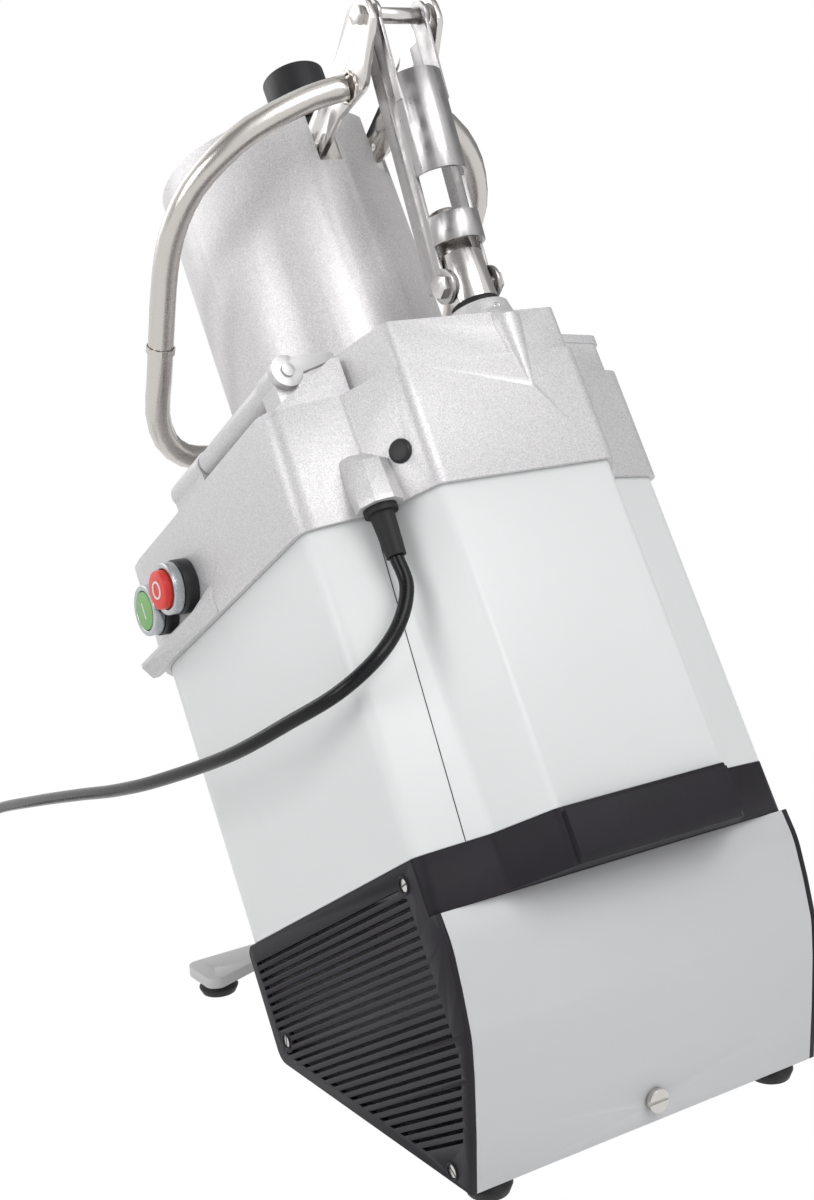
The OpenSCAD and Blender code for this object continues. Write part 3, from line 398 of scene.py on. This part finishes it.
# Rounded copies of the CAD nodes that show
ROUNDED = {
    "top_casting": (2.2, 3), "body_shell": (0.6, 2), "base_band": (1.2, 2), "back_panel": (0.5, 2),
    "right_grille": (0.4, 1), "left_grille": (0.4, 1), "front_panel": (0.5, 2),
    "front_foot_bar": (1.2, 2), "rubber_feet": (0.8, 2), "feed_flange": (2.0, 3),
    "feed_cylinder": (0.7, 2), "link": (0.5, 2), "lever_plates": (0.8, 2), "lever_bolts": (0.7, 2),
    "link_bolts": (0.7, 2), "top_spacer": (0.3, 1), "column_shaft": (0.8, 2), "column_collar": (0.6, 2),
    "collar_seal": (0.5, 2), "hinge_pins": (0.8, 2), "pestle": (2.0, 3), "feed_tube": (0.5, 2),
    "pusher_plate": (1.5, 2), "stop_button": (1.5, 3), "start_button": (0.8, 3),
    "button_bezels": (1.2, 3), "button_bodies": (0.8, 2), "round_plug_cap": (0.8, 2),
    "strain_relief": (0.8, 2), "power_plug": (1.5, 3), "outlet_chute": (1.0, 2), "head_latch": (1.5, 2),
    "back_panel_screw": (0.5, 2), "grille_screws": (0.4, 2), "loop_handle": (0.3, 1),
}
for node, (width, segments) in ROUNDED.items():
    rounded_copy(node, width, segments)
for node, ob in frame["nodes"].items():
    if node not in ROUNDED:
        ob.data.materials.clear()
        ob.data.materials.append(MAT[NODE_SLOT[node]])


# Small parts of the looks
def frame_along(place, axis, across):
    """4 by 4 transform: origin at place in metres, Z along axis, X towards across."""
    z = np.array(axis, float)
    z /= np.linalg.norm(z)
    x = np.array(across, float)
    x = x - z * x.dot(z)
    x /= np.linalg.norm(x)
    m = np.eye(4)
    m[:3, 0], m[:3, 1], m[:3, 2], m[:3, 3] = x, np.cross(z, x), z, place
    return m


def moved(points, m):
    p = np.asarray(points, float)
    return p @ m[:3, :3].T + m[:3, 3]


def lathe(profile, sides):
    """Surface turned round Z through (radius, height) pairs in millimetres, both ends closed."""
    prof = np.asarray(profile, float) * MM
    ang = 2 * np.pi * np.arange(sides) / sides
    ring = np.stack([np.cos(ang), np.sin(ang)], 1)
    verts = np.concatenate([np.repeat(ring[None], len(prof), 0) * prof[:, 0, None, None],
                            np.repeat(prof[:, 1, None, None], sides, 1)], 2).reshape(-1, 3)
    i, k = np.meshgrid(np.arange(len(prof) - 1), np.arange(sides), indexing="ij")
    a, b = i * sides + k, i * sides + (k + 1) % sides
    quads = np.stack([a, b, b + sides, a + sides], -1).reshape(-1, 4)
    first = tuple(range(sides))[::-1]
    last = tuple(range((len(prof) - 1) * sides, len(prof) * sides))
    return verts, [tuple(q) for q in quads] + [first, last]


def torus(radius, tube, sides=48, round_sides=12):
    """Ring in the XY plane, millimetres."""
    a, b = np.meshgrid(2 * np.pi * np.arange(sides) / sides,
                       2 * np.pi * np.arange(round_sides) / round_sides, indexing="ij")
    r = radius + tube * np.cos(b)
    verts = np.stack([r * np.cos(a), r * np.sin(a), tube * np.sin(b)], -1).reshape(-1, 3) * MM
    i, k = np.meshgrid(np.arange(sides), np.arange(round_sides), indexing="ij")
    j, m = (i + 1) % sides, (k + 1) % round_sides
    quads = np.stack([i * round_sides + k, j * round_sides + k, j * round_sides + m,
                      i * round_sides + m], -1).reshape(-1, 4)
    return verts, [tuple(q) for q in quads]


def bar(sx, sy, sz):
    """Box centred on the origin, sizes in millimetres."""
    c = np.array([(x, y, z) for x in (-1, 1) for y in (-1, 1) for z in (-1, 1)], float)
    verts = c * np.array([sx, sy, sz]) * MM / 2
    return verts, [(0, 1, 3, 2), (4, 6, 7, 5), (0, 4, 5, 1), (2, 3, 7, 6), (0, 2, 6, 4), (1, 5, 7, 3)]


def put(name, shape, m, slot, body, smooth=True):
    verts, faces = shape
    new_piece(name, moved(verts, m), faces, slot, body, smooth)


# Buttons: the casting's side face, their places on it and how far they stand out
BODY_HALF = 152.0
PROUD = 4.5
SWITCH_W = 264.5
STOP_V, START_V = 186.0, 232.0
STOP_REACH, START_REACH = 26.0, 20.5
MARK_LIFT = 0.1
STOP_RING = (6.2, 0.8)
START_BAR = (13, 1.5, 0.5)
STOP_MARK_U = BODY_HALF + PROUD + STOP_REACH + MARK_LIFT
START_MARK_U = BODY_HALF + PROUD + START_REACH + MARK_LIFT


def add_marks():
    """Raised white ring on the stop button and white bar on the start button."""
    stop = frame_along(leaned(STOP_MARK_U, STOP_V, SWITCH_W), U_AXIS, W_AXIS)
    put("stop_ring_mark", torus(*STOP_RING), stop, "white_mark", "stop_button")
    start = frame_along(leaned(START_MARK_U, START_V, SWITCH_W), U_AXIS, W_AXIS)
    put("start_bar_mark", bar(*START_BAR), start, "white_mark", "start_button", False)


# Sheet joint: height and share of the way from shoulder to inner crease, at both ends
CREASE_HALF, CREASE_DEPTH = 97.4, 14.0
SEAM_ENDS = ((227.0, 0.872), (0.5, 0.661))
SEAM_OUT = (0.248 * 0.02, 0.969 * 0.02)
SEAM_R = 0.35
SEAM_POINTS, SEAM_SIDES = 6, 6


def add_seam():
    """Thin dark joint of the body sheet on the face between the shoulder and the inner crease."""
    rows = []
    for w, share in SEAM_ENDS:
        u = BODY_HALF + share * (CREASE_HALF - BODY_HALF)
        rows.append(leaned(u + SEAM_OUT[0], -(share * CREASE_DEPTH + SEAM_OUT[1]), w))
    verts, faces = sweep(np.linspace(rows[0], rows[1], SEAM_POINTS), SEAM_R * MM, SEAM_SIDES)
    new_piece("body_sheet_joint", verts, faces, "charcoal_plastic", "machine")


SCREW_SPOTS = [(75.4, 207.3), (-111.8, 34.0), (109.7, 22.0)]
SIDE_X = 151.5
SLOT_TURN = 0.6
RECESS_RING = (5.6, 0.9)
SLOT_BAR = (8.4, 1.1, 0.3)


def add_screw_slots():
    """Slotted heads of the grille screws, each in a dark round recess."""
    for side in (1, -1):
        for k, (y, z) in enumerate(SCREW_SPOTS):
            turned = (0, math.cos(k + SLOT_TURN), math.sin(k + SLOT_TURN))
            m = frame_along(np.array([side * SIDE_X, y, z]) * MM, (side, 0, 0), turned)
            put(f"screw_recess_{side}_{k}", torus(*RECESS_RING), m, "charcoal_plastic", "machine")
            put(f"screw_slot_{side}_{k}", bar(*SLOT_BAR), m, "inner_plastic", "machine", False)


BOSS_SCREW_PLACE = (-28.0, -51.6, 356.0)
BOSS_SCREW = [(0.1, -1), (3.2, -1), (3.2, 0.4), (2.6, 0.9), (1.2, 0.9), (1.2, 0.2), (0.1, 0.2)]
BOSS_SCREW_SIDES = 24


def add_boss_screw():
    """Small set screw in the rear of the boss that carries the column."""
    m = frame_along(leaned(*BOSS_SCREW_PLACE), -V_AXIS, W_AXIS)
    put("boss_set_screw", lathe(BOSS_SCREW, BOSS_SCREW_SIDES), m, "screw_steel", "machine")


WELD_CENTRE = (3.4, -16.0, 565.0)
WELD_R, WELD_BEAD = 11.2, 1.6
WELD_RIPPLE, WELD_RIPPLES = 0.06, 9
WELD_STEPS, WELD_SIDES = 48, 10


def add_weld():
    """Weld bead between the loop handle and the right lever plate: a rippled circle."""
    u, v, w = WELD_CENTRE
    a = np.linspace(0, 2 * np.pi, WELD_STEPS + 1)[:-1, None]
    r = WELD_R * (1 + WELD_RIPPLE * np.sin(WELD_RIPPLES * a))
    ring = leaned(u, v + r * np.cos(a), w + r * np.sin(a))
    verts, faces = sweep(np.vstack([ring, ring[:1]]), WELD_BEAD * MM, WELD_SIDES)
    new_piece("handle_weld", verts, faces, "satin_steel", "lever")


add_marks()
add_seam()
add_screw_slots()
add_boss_screw()
add_weld()


# Floor and light
WHITE = (1.0, 1.0, 1.0)


def glow_mix(mat):
    """Plain white to camera, glossy and transmission rays; its own paint to all the others."""
    tree = mat.node_tree
    path = tree.nodes.new("ShaderNodeLightPath")
    share = path.outputs["Is Camera Ray"]
    for ray in ("Is Glossy Ray", "Is Transmission Ray"):
        either = tree.nodes.new("ShaderNodeMath")
        either.operation = "MAXIMUM"
        tree.links.new(share, either.inputs[0])
        tree.links.new(path.outputs[ray], either.inputs[1])
        share = either.outputs[0]
    glow = tree.nodes.new("ShaderNodeEmission")
    glow.inputs["Color"].default_value = (*WHITE, 1)
    mix = tree.nodes.new("ShaderNodeMixShader")
    tree.links.new(share, mix.inputs[0])
    tree.links.new(tree.nodes["Principled BSDF"].outputs[0], mix.inputs[1])
    tree.links.new(glow.outputs[0], mix.inputs[2])
    tree.links.new(mix.outputs[0], tree.nodes["Material Output"].inputs["Surface"])


FLOOR_HALF = 6.0


def add_floor():
    mesh = bpy.data.meshes.new("floor")
    corners = [(x * FLOOR_HALF, y * FLOOR_HALF, 0) for x, y in ((-1, -1), (1, -1), (1, 1), (-1, 1))]
    mesh.from_pydata(corners, [], [(0, 1, 2, 3)])
    ob = bpy.data.objects.new("floor", mesh)
    bpy.context.collection.objects.link(ob)
    fin = Finish("floor_white", (0.86, 0.86, 0.86), 0.8)
    glow_mix(fin.mat)
    mesh.materials.append(fin.mat)


EVEN_COLOR, EVEN_STRENGTH = (0.8, 0.8, 0.82), 0.57
GAP_TURN = math.radians(-40)
WRAP = {"From Min": -0.3, "From Max": 0.7, "To Min": 0.95, "To Max": 0.32}


def add_world():
    """Even grey light; the camera sees white, glossy rays a white wrap with two darker gaps."""
    world = bpy.data.worlds.new("studio")
    world.use_nodes = True
    bpy.context.scene.world = world
    tree = world.node_tree

    def math_node(kind, *values):
        made = tree.nodes.new("ShaderNodeMath")
        made.operation = kind
        for socket, value in zip(made.inputs, values):
            if isinstance(value, (int, float)):
                socket.default_value = value
            else:
                tree.links.new(value, socket)
        return made.outputs[0]

    def sky(color, strength):
        made = tree.nodes.new("ShaderNodeBackground")
        made.inputs["Color"].default_value = (*color, 1)
        if isinstance(strength, float):
            made.inputs["Strength"].default_value = strength
        else:
            tree.links.new(strength, made.inputs["Strength"])
        return made.outputs[0]

    def mixed(share, first, second):
        made = tree.nodes.new("ShaderNodeMixShader")
        for socket, value in zip(made.inputs, (share, first, second)):
            tree.links.new(value, socket)
        return made.outputs[0]

    path = tree.nodes.new("ShaderNodeLightPath")
    split = tree.nodes.new("ShaderNodeSeparateXYZ")
    tree.links.new(tree.nodes.new("ShaderNodeTexCoord").outputs["Generated"], split.inputs[0])
    turn = math_node("ARCTAN2", split.outputs[1], split.outputs[0])
    wave = math_node("COSINE", math_node("ADD", math_node("MULTIPLY", turn, 2.0), GAP_TURN))
    wrap = tree.nodes.new("ShaderNodeMapRange")
    wrap.interpolation_type = "SMOOTHSTEP"
    tree.links.new(wave, wrap.inputs["Value"])
    for key, value in WRAP.items():
        wrap.inputs[key].default_value = value
    even = sky(EVEN_COLOR, EVEN_STRENGTH)
    metal_sees = sky(WHITE, wrap.outputs["Result"])
    shiny = math_node("MAXIMUM", path.outputs["Is Glossy Ray"], path.outputs["Is Transmission Ray"])
    unseen = mixed(shiny, even, metal_sees)
    behind = mixed(path.outputs["Is Camera Ray"], unseen, sky(WHITE, 1.0))
    tree.links.new(behind, tree.nodes["World Output"].inputs["Surface"])


LAMP_TARGET = Vector((0, -0.05, 0.35))
LAMPS = [
    ("key", (-0.35, 1.95, 2.15), 1.6, 29.5),
    ("side", (2.3, 0.3, 1.3), 1.2, 16),
    ("front_fill", (0.9, -1.9, 1.5), 1.5, 9),
]


def add_lamps():
    for name, place, size, power in LAMPS:
        lamp = bpy.data.lights.new(name, "AREA")
        lamp.energy = power
        lamp.size = size
        ob = bpy.data.objects.new(name, lamp)
        bpy.context.collection.objects.link(ob)
        ob.location = place
        ob.rotation_euler = (LAMP_TARGET - Vector(place)).to_track_quat("-Z", "Y").to_euler()


add_floor()
add_world()
add_lamps()
